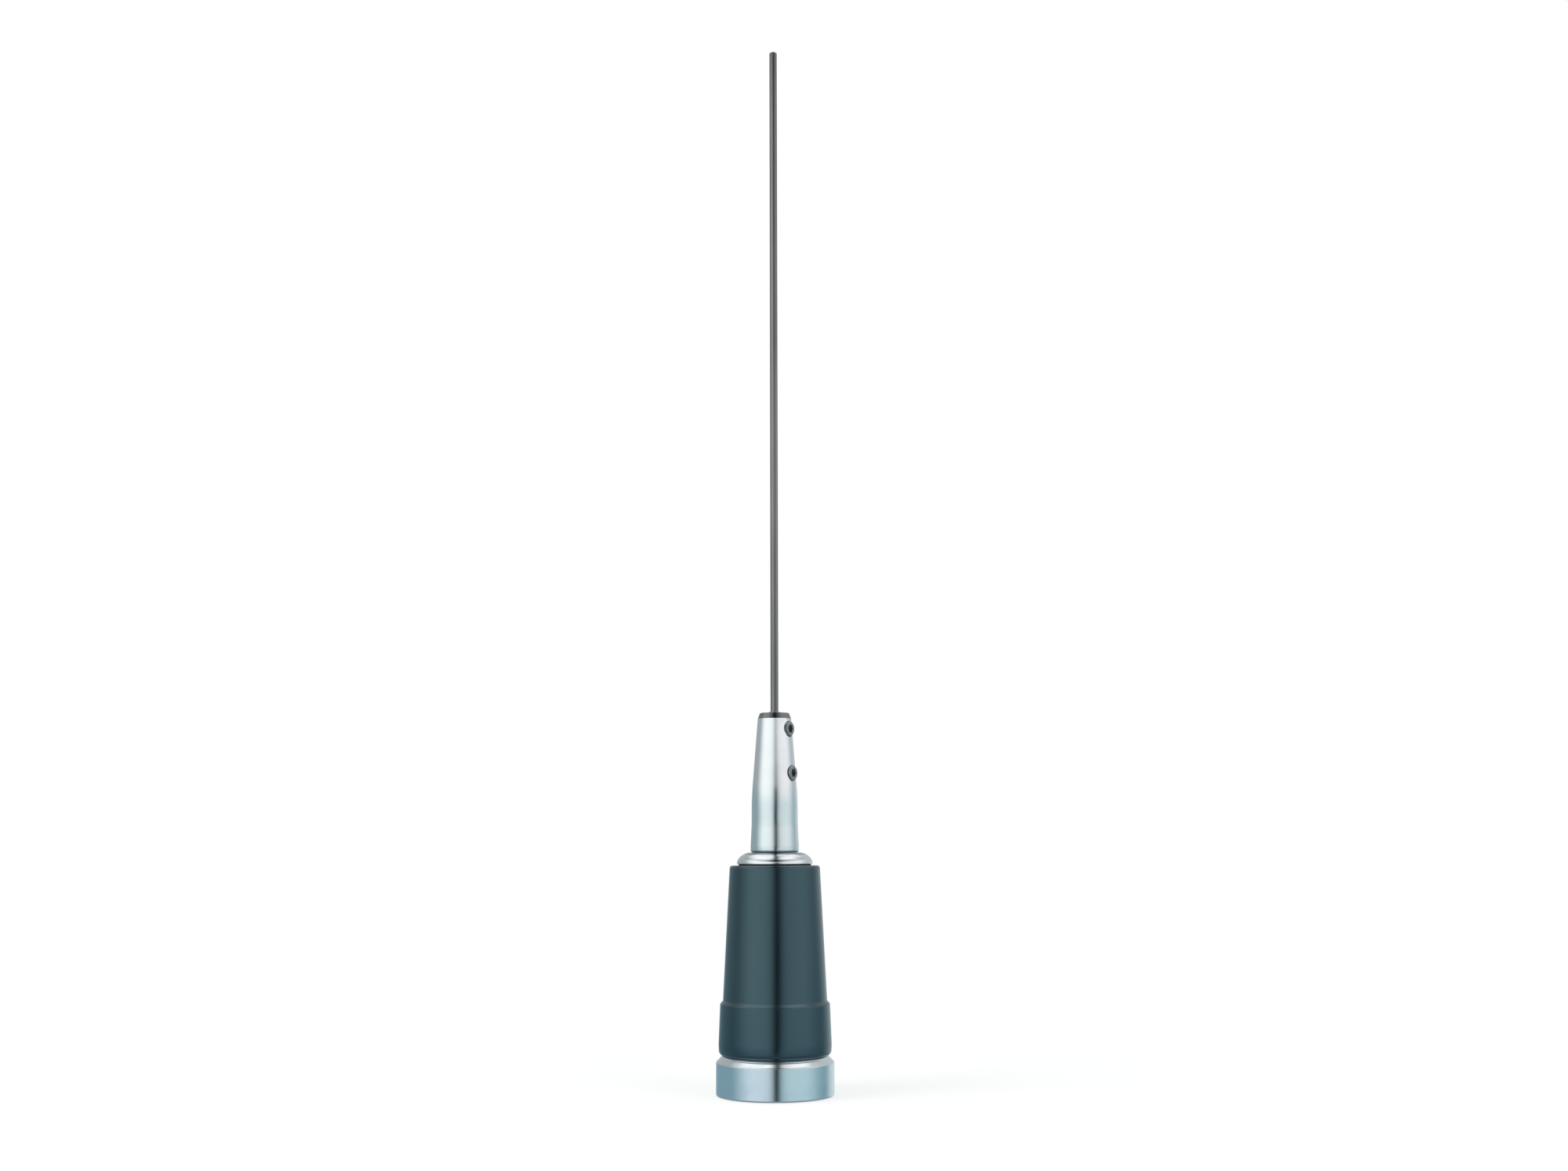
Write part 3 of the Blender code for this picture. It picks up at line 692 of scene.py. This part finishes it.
housingSize = {
    "mouthRadius": 13.6,
    "spigotRadius": 15.7,
    "ledge": 12.52,
    "ledgeInset": 0.95,
    "ledgeHeight": 0.9,
    "ledgeRound": 1.4,
    "tuck": 0.15,  # the skirt draws in a little over its lowest millimetres
    "tuckHeight": 15.6,
    "skirtTop": 28.6,
    "skirtDraft": 0.5,
    "shoulder": 0.9,
    "shoulderRise": 1.0,
    "shoulderRound": 0.45,
    "coneTopRadius": 14.7,
    "topRound": 0.9,
    "wall": 2.2,
    "studHole": 4.269,
}


def makeHousing():
    size = housingSize
    foot, top, radius = span("housing")
    skirtTop = radius - size["skirtDraft"]
    coneFoot = skirtTop - size["shoulder"]
    roof = size["coneTopRadius"] - size["wall"]
    corners = [
        (size["mouthRadius"], foot, 0.2),
        (size["spigotRadius"], foot, 0.2),
        (size["spigotRadius"], size["ledge"]),
        (radius - size["ledgeInset"], size["ledge"], 0.12),
        (radius - size["tuck"], size["ledge"] + size["ledgeHeight"], size["ledgeRound"]),
        (radius, size["tuckHeight"], 20),
        (skirtTop, size["skirtTop"], size["shoulderRound"]),
        (coneFoot, size["skirtTop"] + size["shoulderRise"], 0.3),
        (size["coneTopRadius"], top, size["topRound"]),
        (size["studHole"], top, 0.1),
        (size["studHole"], top - size["wall"], 0.1),
        (roof, top - size["wall"], 1.2),
    ]
    shape = bmesh.new()
    spin(shape, outline(corners, True, 8), 192)
    addPiece("housingShell", shape, moulding, "coil_unit", ["housing"])


coilSize = {
    "radius": 11.1,
    "wire": 1.6,
    "turns": 9.5,
    "start": 18.9,
    "pitch": 4.2,
    "bend": 2.0,
    "leadWire": 1.0,
    "leadBend": 1.5,
    "leadHeight": 22.05,
}


def makeCoil():
    size = coilSize
    foot, head = span("coil_winding")[:2]
    length = 2 * math.pi * size["radius"] * size["turns"]
    start, end = (0, size["start"]), (length, size["start"] + size["pitch"] * size["turns"])
    first = fillet((0, foot), start, end, size["bend"], 8)
    last = fillet(start, end, (length, head), size["bend"], 8)
    (lowX, lowY), (highX, highY) = first[-1], last[0]
    steps = round(size["turns"] * 56)
    climb = []
    for index in range(1, steps):
        share = index / steps
        climb.append((lowX + (highX - lowX) * share, lowY + (highY - lowY) * share))
    path = []
    for distance, height in [(0, foot)] + first + climb + last + [(length, head)]:
        angle = distance / size["radius"]
        path.append((size["radius"] * math.cos(angle), size["radius"] * math.sin(angle), height))
    shape = bmesh.new()
    tube(shape, path, size["wire"] / 2, 16)
    addPiece("loadingCoil", shape, copper, "coil_unit", ["coil_winding"], 50)

    low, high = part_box("tap_lead")
    foot, reach = low.z / mm, -low.y / mm
    corner, end = (0, size["leadHeight"]), (reach, size["leadHeight"])
    flat = [(0, foot)] + fillet((0, foot), corner, end, size["leadBend"], 8) + [end]
    shape = bmesh.new()
    tube(shape, [(0, -out, height) for out, height in flat], size["leadWire"] / 2)
    addPiece("tapLead", shape, copper, "coil_unit", ["tap_lead"], 50)

    for node, finish in (
        ("coil_former", nylon),
        ("contact_nut", brass),
        ("spring_cap", brass),
        ("solder_tag", brass),
        ("terminal_nut", brass),
        ("flat_washer", steel),
    ):
        dress(node, finish)


terminalSize = {
    "studRadius": 5 / 32 * inch,
    "threadPitch": inch / 24,
    "threadDepth": 0.62,
    "studChamfer": 0.6,
    "domeBottom": 73.05,
    "domeTop": 76.75,
    "domeEdge": 0.25,
    "domeSlope": 1.3,  # 1 is a quarter ellipse, and more draws its shoulder in
    "landRadius": 8.4,
    "recessRadius": 6.47,
    "recess": 0.15,
    "domeSteps": 20,
}


def makeTerminal():
    size = terminalSize
    bottom, top, radius = span("top_terminal")
    stud, chamfer = size["studRadius"], size["studChamfer"]
    shoulder = size["domeBottom"] + size["domeEdge"]
    land, rise = size["landRadius"], size["domeTop"] - shoulder
    dome = []
    for step in range(size["domeSteps"] + 1):
        turn = math.pi / 2 * step / size["domeSteps"]
        reach = (radius - land) * max(0, math.cos(turn)) ** size["domeSlope"]
        dome.append((land + reach, shoulder + rise * math.sin(turn)))
    under = [(0, bottom), (stud - chamfer, bottom), (stud, bottom + chamfer)]
    low, edge = size["domeBottom"], 0.08
    flange = [(stud, low), (radius - edge, low), (radius, low + edge)]
    floor = size["domeTop"] - size["recess"]
    recess = [(size["recessRadius"], size["domeTop"]), (size["recessRadius"], floor), (stud, floor)]
    over = [(stud, top - chamfer), (stud - chamfer, top), (0, top)]
    shape = bmesh.new()
    spin(shape, under, 160, False)
    spin(shape, outline(flange + dome + recess, False), 160, False)
    spin(shape, over, 160, False)
    pitch, depth = size["threadPitch"], size["threadDepth"]
    addThread(shape, stud, depth, pitch, bottom + chamfer, size["domeBottom"])
    addThread(shape, stud, depth, pitch, floor, top - chamfer)
    addPiece("terminalDome", shape, chrome, "coil_unit", ["top_terminal"])

    # the gasket is squeezed between the housing and the dome, so it fills the room between them
    gasket = span("top_gasket")[2]
    low, high = span("housing")[1] + 0.02, size["domeBottom"] - 0.02
    hole = housingSize["studHole"]
    section = [(hole, low), (gasket, low, 0.3), (gasket, high, 0.3), (hole, high)]
    turned("terminalGasket", section, rubber, "coil_unit", ["top_gasket"])


washerSize = {
    "teeth": 8,
    "tipRadius": 4.269,
    "rootRadius": 5.22,
    "twist": 0.14,  # each tooth's corners bend up and down by this much
}


def makeLockWasher():
    size = washerSize
    bottom, top, radius = span("lock_washer")
    profile = ((0.02, 0), (0.06, 0.6), (0.10, 1), (0.20, 1), (0.30, 1), (0.40, 1), (0.44, 0.6), (0.48, 0))
    profile += ((0.62, 0), (0.74, 0), (0.86, 0))  # share of the tooth's spacing, share of its length
    columns = []
    for tooth in range(size["teeth"]):
        for share, length in profile:
            angle = 2 * math.pi * (tooth + share) / size["teeth"]
            inner = size["rootRadius"] - (size["rootRadius"] - size["tipRadius"]) * length
            bend = size["twist"] * length * (share - 0.25) / 0.15
            columns.append((angle, inner, bend))
    shape = bmesh.new()
    rings = []
    for height in (bottom, top):
        for place in ("inner", "root", "outer"):
            ring = []
            for angle, inner, bend in columns:
                reach = {"inner": inner, "root": size["rootRadius"] + 0.25, "outer": radius}[place]
                lift = height + (bend if place == "inner" else 0)
                ring.append(shape.verts.new((reach * math.cos(angle), reach * math.sin(angle), lift)))
            rings.append(ring)
    lowInner, lowRoot, lowOuter, highInner, highRoot, highOuter = rings
    loops = ((lowInner, lowRoot), (lowRoot, lowOuter), (lowOuter, highOuter))
    loops += ((highOuter, highRoot), (highRoot, highInner), (highInner, lowInner))
    count = len(columns)
    for first, second in loops:
        for index in range(count):
            after = (index + 1) % count
            shape.faces.new([first[index], first[after], second[after], second[index]])
    addPiece("toothedWasher", shape, steel, "lock_washer", ["lock_washer"])


print("ring, seal and contact")
makeRing()
makeContact()
print("housing and coil")
makeHousing()
makeCoil()
print("top terminal and washer")
makeTerminal()
makeLockWasher()


# Ferrule, screws and whip

ferruleSize = {
    "barrelRadius": 7.55,
    "tipRadius": 5.55,
    "taperFoot": 94.4,
    "taperRound": 150,  # the barrel runs into the taper in a long curve
    "taperTop": 120.3,
    "top": 122.2,
    "foot": 77.6,
    "rimRadius": 6.47,  # the rim hides the lock washer
    "rimBottom": 76.78,
    "flareFoot": 78.6,
    "flareTop": 86.0,
    "footRound": 1.15,
    "tipChamfer": 0.7,
    "lipRadius": 1.8,
    "bore": 1.45,
    "boreFloor": 91.0,
    "tappedRadius": 4.07,
    "tapPitch": inch / 24,
    "tapDepth": 0.5,
    "tapEnd": 88.0,
    "holeRadius": 2.55,
    "holeStart": 1.3,  # inside the whip's bore
    "countersink": 0.25,
    "screwHeights": {"Upper": 116.9, "Lower": 102.4},
}


def taperRadius(height):
    size = ferruleSize
    share = (height - size["taperFoot"]) / (size["taperTop"] - size["taperFoot"])
    return size["barrelRadius"] + (size["tipRadius"] - size["barrelRadius"]) * share


def alongX(x, height):
    # lays a piece that was made along +Z on its side, to point along +X
    return Matrix.Translation((x, 0, height)) @ Matrix.Rotation(math.pi / 2, 4, "Y")


def trueNormals(mesh):
    # the screw holes leave odd faces on the turned surface; its normals are set to what a lathe leaves
    heights = ferruleSize["screwHeights"].values()
    reach = ferruleSize["holeRadius"] - 0.02
    normals = []
    smooth = [Vector(corner.vector) for corner in mesh.corner_normals]
    for face in mesh.polygons:
        centre = Vector(face.center)
        round_ = Vector((-centre.y, centre.x, 0))
        size = round_.length
        tilt = abs(face.normal.dot(round_)) / size if size > 1e-7 else 0
        inHole = any(math.hypot(centre.y, centre.z - h * mm) < reach * mm for h in heights) and centre.x > 0
        for loop in face.loop_indices:
            normal = smooth[loop]
            spot = mesh.vertices[mesh.loops[loop].vertex_index].co
            away = Vector((spot.x, spot.y, 0))
            if tilt < 0.05 and not inHole and away.length > 1e-6:
                level = math.sqrt(max(0, 1 - normal.z * normal.z))
                outward = 1 if normal.x * away.x + normal.y * away.y > 0 else -1
                flat = away.normalized() * level * outward
                normal = Vector((flat.x, flat.y, normal.z))
            normals.append(normal)
    mesh.normals_split_custom_set(normals)


def makeFerrule():
    size = ferruleSize
    top, radius = span("ferrule")[1:]
    foot, barrel = size["foot"], size["barrelRadius"]
    outside = [
        (size["tappedRadius"], foot),
        (size["rimRadius"], foot),
        (size["rimRadius"], size["rimBottom"]),
        (radius, size["rimBottom"], size["footRound"]),
        (radius, size["flareFoot"], 12),
        (barrel, size["flareTop"], 60),
        (barrel, size["taperFoot"], size["taperRound"]),
        (size["tipRadius"], size["taperTop"], 0.12),
        (size["tipRadius"] - size["tipChamfer"], size["top"], 0.12),
        (size["lipRadius"], size["top"]),
        (size["lipRadius"], top, 0.1),
        (size["bore"], top, 0.1),
        (size["bore"], size["boreFloor"]),
        (0, size["boreFloor"]),
    ]
    tapped = [(size["tappedRadius"], size["tapEnd"]), (0, size["tapEnd"])]
    shape = bmesh.new()
    spin(shape, outline(outside, False, 8), 192, False)
    spin(shape, tapped, 192, False)
    addThread(shape, size["tappedRadius"], -size["tapDepth"], size["tapPitch"], foot, size["tapEnd"], 192)
    body = addPiece("ferruleBody", shape, chrome, "whip_holder", ["ferrule"])
    for height in size["screwHeights"].values():
        start = size["holeStart"]
        mouth = taperRadius(height) - start
        hole, sink = size["holeRadius"], size["countersink"]
        end = mouth + 4  # well clear of the ferrule
        cutter = [(0, 0), (hole, 0), (hole, mouth - sink)]
        cutter += [(hole + sink, mouth), (hole + sink, end), (0, end)]
        tool = bmesh.new()
        spin(tool, cutter, 72, False)
        weld(tool)
        tool.transform(Matrix.Scale(mm, 4) @ alongX(start, height))
        toolMesh = bpy.data.meshes.new("screwHoleTool")
        tool.to_mesh(toolMesh)
        tool.free()
        toolObject = bpy.data.objects.new("screwHoleTool", toolMesh)
        bpy.context.scene.collection.objects.link(toolObject)
        step = body.modifiers.new("screwHole", "BOOLEAN")
        step.object = toolObject
        step.solver = "EXACT"
        bpy.context.view_layer.update()
        evaluated = body.evaluated_get(bpy.context.evaluated_depsgraph_get())
        cutMesh = bpy.data.meshes.new_from_object(evaluated)
        body.modifiers.clear()
        body.data = cutMesh
        bpy.data.objects.remove(toolObject)
    body.data.materials.clear()
    body.data.materials.append(chrome)
    body.data.shade_smooth()
    body.data.set_sharp_from_angle(angle=math.radians(30))
    trueNormals(body.data)


screwSize = {
    "radius": 2.4,
    "threadPitch": inch / 32,
    "threadDepth": 0.42,
    "pointChamfer": 0.7,
    "rimChamfer": 0.25,
    "socketWidth": 2.4,
    "socketDepth": 1.5,
    "socketBevel": 0.15,
    "socketCone": 0.5,  # what the drill leaves at the socket's floor
}


def makeScrew(name, node, height, body):
    size = screwSize
    low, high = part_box(node)
    start, length = low.x / mm, (high.x - low.x) / mm
    radius = size["radius"]
    top, floor = length - size["rimChamfer"], length - size["socketDepth"]
    socket = hexRadius(size["socketWidth"])
    mouth = hexRadius(size["socketWidth"] + 2 * size["socketBevel"])
    point = [(0, 0), (radius - size["pointChamfer"], 0), (radius, size["pointChamfer"])]
    head = [
        (radius, top),
        (radius - size["rimChamfer"], length),
        (mouth, length),
        (socket, length - size["socketBevel"]),
        (socket, floor),
        (0, floor - size["socketCone"]),
    ]
    shape = bmesh.new()
    spin(shape, point, 96, False)
    spin(shape, head, 96, False)
    addThread(shape, radius, size["threadDepth"], size["threadPitch"], size["pointChamfer"], top, 96)
    addPiece(name, shape, steel, body, [node], stand=alongX(start, height))


whipSize = {"endChamfer": 0.25}


def makeWhip():
    # the rod's length and thickness are the solid's
    foot, top, radius = span("whip")
    chamfer = whipSize["endChamfer"]
    corners = [
        (0, foot),
        (radius - chamfer, foot),
        (radius, foot + chamfer),
        (radius, top - chamfer),
        (radius - chamfer, top),
        (0, top),
    ]
    turned("whipRod", corners, steelRod, "whip", ["whip"], 96, False)


print("ferrule, screws and whip")
makeFerrule()
makeScrew("setScrewUpper", "set_screw_upper", ferruleSize["screwHeights"]["Upper"], "upper_screw")
makeScrew("setScrewLower", "set_screw_lower", ferruleSize["screwHeights"]["Lower"], "lower_screw")
makeWhip()


# Camera, as the photograph was taken

cameraView = {
    "azimuth": 32.0,  # degrees round from -Y; the screws then stand on the right-hand limb
    "distance": 0.5862,  # metres from the antenna's axis
    "height": 0.0782,
    "pitch": 8.41,
    "turn": -0.32,  # the antenna stands a little left of the middle
    "roll": -0.17,
    "lens": 40.77,
}


def makeCamera():
    view = cameraView
    data = bpy.data.cameras.new("camera")
    data.lens = view["lens"]
    data.sensor_width = 36
    camera = bpy.data.objects.new("camera", data)
    bpy.context.scene.collection.objects.link(camera)
    azimuth = math.radians(view["azimuth"])
    out = view["distance"]
    camera.location = (out * math.sin(azimuth), -out * math.cos(azimuth), view["height"])
    turn = Matrix.Rotation(math.radians(view["azimuth"] + view["turn"]), 3, "Z")
    pitch = Matrix.Rotation(math.radians(90 + view["pitch"]), 3, "X")
    roll = Matrix.Rotation(math.radians(view["roll"]), 3, "Z")
    camera.rotation_euler = (turn @ pitch @ roll).to_euler()
    bpy.context.scene.camera = camera


# Studio

tentLook = {
    "radius": 3.0,
    # colours by direction: a little below level, level and above; the soft boxes flank the camera
    "leftBox": ((0.66, 0.81, 0.90), (0.93, 1.05, 1.04), (1.17, 1.21, 1.20)),
    "rightBox": ((0.51, 0.71, 0.77), (0.77, 0.89, 0.91), (1.06, 1.05, 1.06)),
    "leftFlank": ((0.22, 0.37, 0.44), (0.31, 0.41, 0.44), (0.44, 0.47, 0.48)),
    "rightFlank": ((0.24, 0.40, 0.47), (0.40, 0.51, 0.56), (0.55, 0.58, 0.60)),
    "back": ((0.66, 0.76, 0.78), (0.60, 0.68, 0.71), (0.56, 0.60, 0.61)),
    "high": (1.20, 1.25, 1.25),
    "zenith": (1.8, 1.9, 1.9),
    "under": (0.28, 0.33, 0.36),
    # heights, as sines, between which each of these takes over from the one below it
    "underEnd": (-0.45, -0.16),
    "levelFrom": (-0.14, 0.02),
    "aboveFrom": (0.05, 0.16),
    "highFrom": (0.60, 0.80),
    "zenithFrom": (0.97, 0.998),
    # degrees round from a middle, between which the boxes end and the back begins
    "boxMiddle": 6,
    "boxEnd": (56, 109),
    "boxRise": 45,  # the boxes reach further round, the higher they are
    "backMiddle": -20,
    "backFrom": (130, 165),
    # the dark gap between the soft boxes, where the camera stands
    "slot": (0.018, 0.036, 0.043),
    "slotSide": 0.08,
    "slotWidth": 0.255,
    "darkHeight": 0.63,  # it widens to a broad dark place at this height
    "darkWidth": 0.43,
    "paleHeight": 0.245,  # something pale hangs in it a little above level
    "paleReach": 0.045,
}


def makeTent():
    # a light tent round the object that only lights and reflects; the camera sees the white world past it
    look = tentLook
    shape = bmesh.new()
    bmesh.ops.create_uvsphere(shape, u_segments=64, v_segments=32, radius=look["radius"])
    bmesh.ops.reverse_faces(shape, faces=shape.faces)
    mesh = bpy.data.meshes.new("lightTent")
    shape.to_mesh(mesh)
    shape.free()
    mesh.shade_smooth()
    tent = bpy.data.objects.new("lightTent", mesh)
    bpy.context.scene.collection.objects.link(tent)
    tent.location = (0, 0, cameraView["height"])
    tent.rotation_euler.z = math.radians(cameraView["azimuth"] - 90)  # its +X points at the camera
    tent.visible_camera = False
    tent.visible_shadow = False

    finish = Finish("light_tent")
    point = finish.node("TexCoord", output="Object")
    ray = finish.node("VectorMath", {"operation": "NORMALIZE"}, {0: point})
    ahead, side, height = finish.numbers(ray)
    round_ = finish.node("Math", {"operation": "ARCTAN2"}, {0: side, 1: ahead}) * (180 / math.pi)

    def wall(name):
        low, level, above = look[name]
        lower = finish.mix(low, level, height.between(*look["levelFrom"]))
        return finish.mix(lower, above, height.between(*look["aboveFrom"]))

    right = side.between(-0.1, 0.1)
    box = finish.mix(wall("leftBox"), wall("rightBox"), right)
    flank = finish.mix(wall("leftFlank"), wall("rightFlank"), right)
    fromBoxes = abs(round_ - look["boxMiddle"]) - height * look["boxRise"]
    fromBack = abs(round_ - look["backMiddle"])
    colour = finish.mix(box, flank, fromBoxes.between(*look["boxEnd"]))
    colour = finish.mix(colour, wall("back"), fromBack.between(*look["backFrom"]))
    colour = finish.mix(colour, look["high"], height.between(*look["highFrom"]))
    colour = finish.mix(colour, look["zenith"], height.between(*look["zenithFrom"]))

    # near level the slot leans to the right and widens a little with the height
    nearLevel = finish.node("Clamp", {}, {0: height, 1: -0.12, 2: 0.08})
    dark = 1 - abs(height - look["darkHeight"]).between(0.08, 0.22)
    width = nearLevel * 0.65 + look["slotWidth"] + dark * look["darkWidth"]
    width = width - height.between(0.78, 0.92) * 0.15
    middle = nearLevel * 0.3 + look["slotSide"] - height.between(0.3, 0.5) * 0.06
    offset = (side - middle) / width
    slot = 1 / (offset * offset + 1) ** 1.5
    pale = (height - look["paleHeight"]) / look["paleReach"]
    slot = slot * ((pale * pale).between(0, 2.6) * 0.62 + 0.38) * ahead.between(-0.6, -0.3)
    slot = slot * (1 - (height.between(0.03, 0.09) - height.between(0.2, 0.3)) * 0.08)
    colour = finish.mix(colour, look["slot"], slot)
    colour = finish.mix(look["under"], colour, height.between(*look["underEnd"]))
    emission = finish.node("Emission", {}, {"Color": colour, "Strength": 1})
    end = finish.tree.nodes["Material Output"]
    finish.tree.links.new(emission.socket, end.inputs["Surface"])
    mesh.materials.append(finish.material)


floorLook = {"radius": 6.0, "colour": (0.92, 0.92, 0.92), "nearWhite": 0.72, "fadeFrom": 60, "fadeTo": 260}


def makeFloor():
    # plain white; its emission joins the background, and near the object it keeps some shadow
    look = floorLook
    shape = bmesh.new()
    bmesh.ops.create_circle(shape, cap_ends=True, segments=128, radius=look["radius"])
    mesh = bpy.data.meshes.new("floor")
    shape.to_mesh(mesh)
    shape.free()
    floor = bpy.data.objects.new("floor", mesh)
    bpy.context.scene.collection.objects.link(floor)
    floor.location.z = -0.0002
    floor.visible_glossy = False
    finish = Finish("white_floor")
    point, height, radius = finish.place()
    finish.surface(Base_Color=look["colour"], Roughness=0.9, Specular_IOR_Level=0)
    white = finish.node("Emission", {}, {"Color": (1, 1, 1), "Strength": 1})
    share = radius.between(look["fadeFrom"], look["fadeTo"]) * (1 - look["nearWhite"]) + look["nearWhite"]
    lit = Value(finish, finish.shader.outputs[0])
    blend = finish.node("MixShader", {}, {0: share, 1: lit, 2: white})
    end = finish.tree.nodes["Material Output"]
    finish.tree.links.new(blend.socket, end.inputs["Surface"])
    mesh.materials.append(finish.material)


lampLook = {
    "key": {"place": (-0.55, -0.9, 0.95), "size": 0.7, "power": 9},
    "fill": {"place": (1.0, -0.25, 0.7), "size": 0.8, "power": 5},
}


def makeLamps():
    for name, look in lampLook.items():
        data = bpy.data.lights.new(name, "AREA")
        data.size = look["size"]
        data.energy = look["power"]
        lamp = bpy.data.objects.new(name, data)
        bpy.context.scene.collection.objects.link(lamp)
        lamp.location = look["place"]
        toObject = Vector((0, 0, 0.1)) - Vector(look["place"])
        lamp.rotation_euler = toObject.to_track_quat("-Z", "Y").to_euler()
        lamp.visible_glossy = False  # metal shows the tent instead


def makeWorld():
    world = bpy.data.worlds.new("world")
    world.use_nodes = True
    bpy.context.scene.world = world
    background = world.node_tree.nodes["Background"]
    background.inputs["Color"].default_value = (1, 1, 1, 1)
    background.inputs["Strength"].default_value = 1
    bpy.context.scene.view_settings.view_transform = "Standard"


print("camera and studio")
makeCamera()
makeTent()
makeFloor()
makeLamps()
makeWorld()
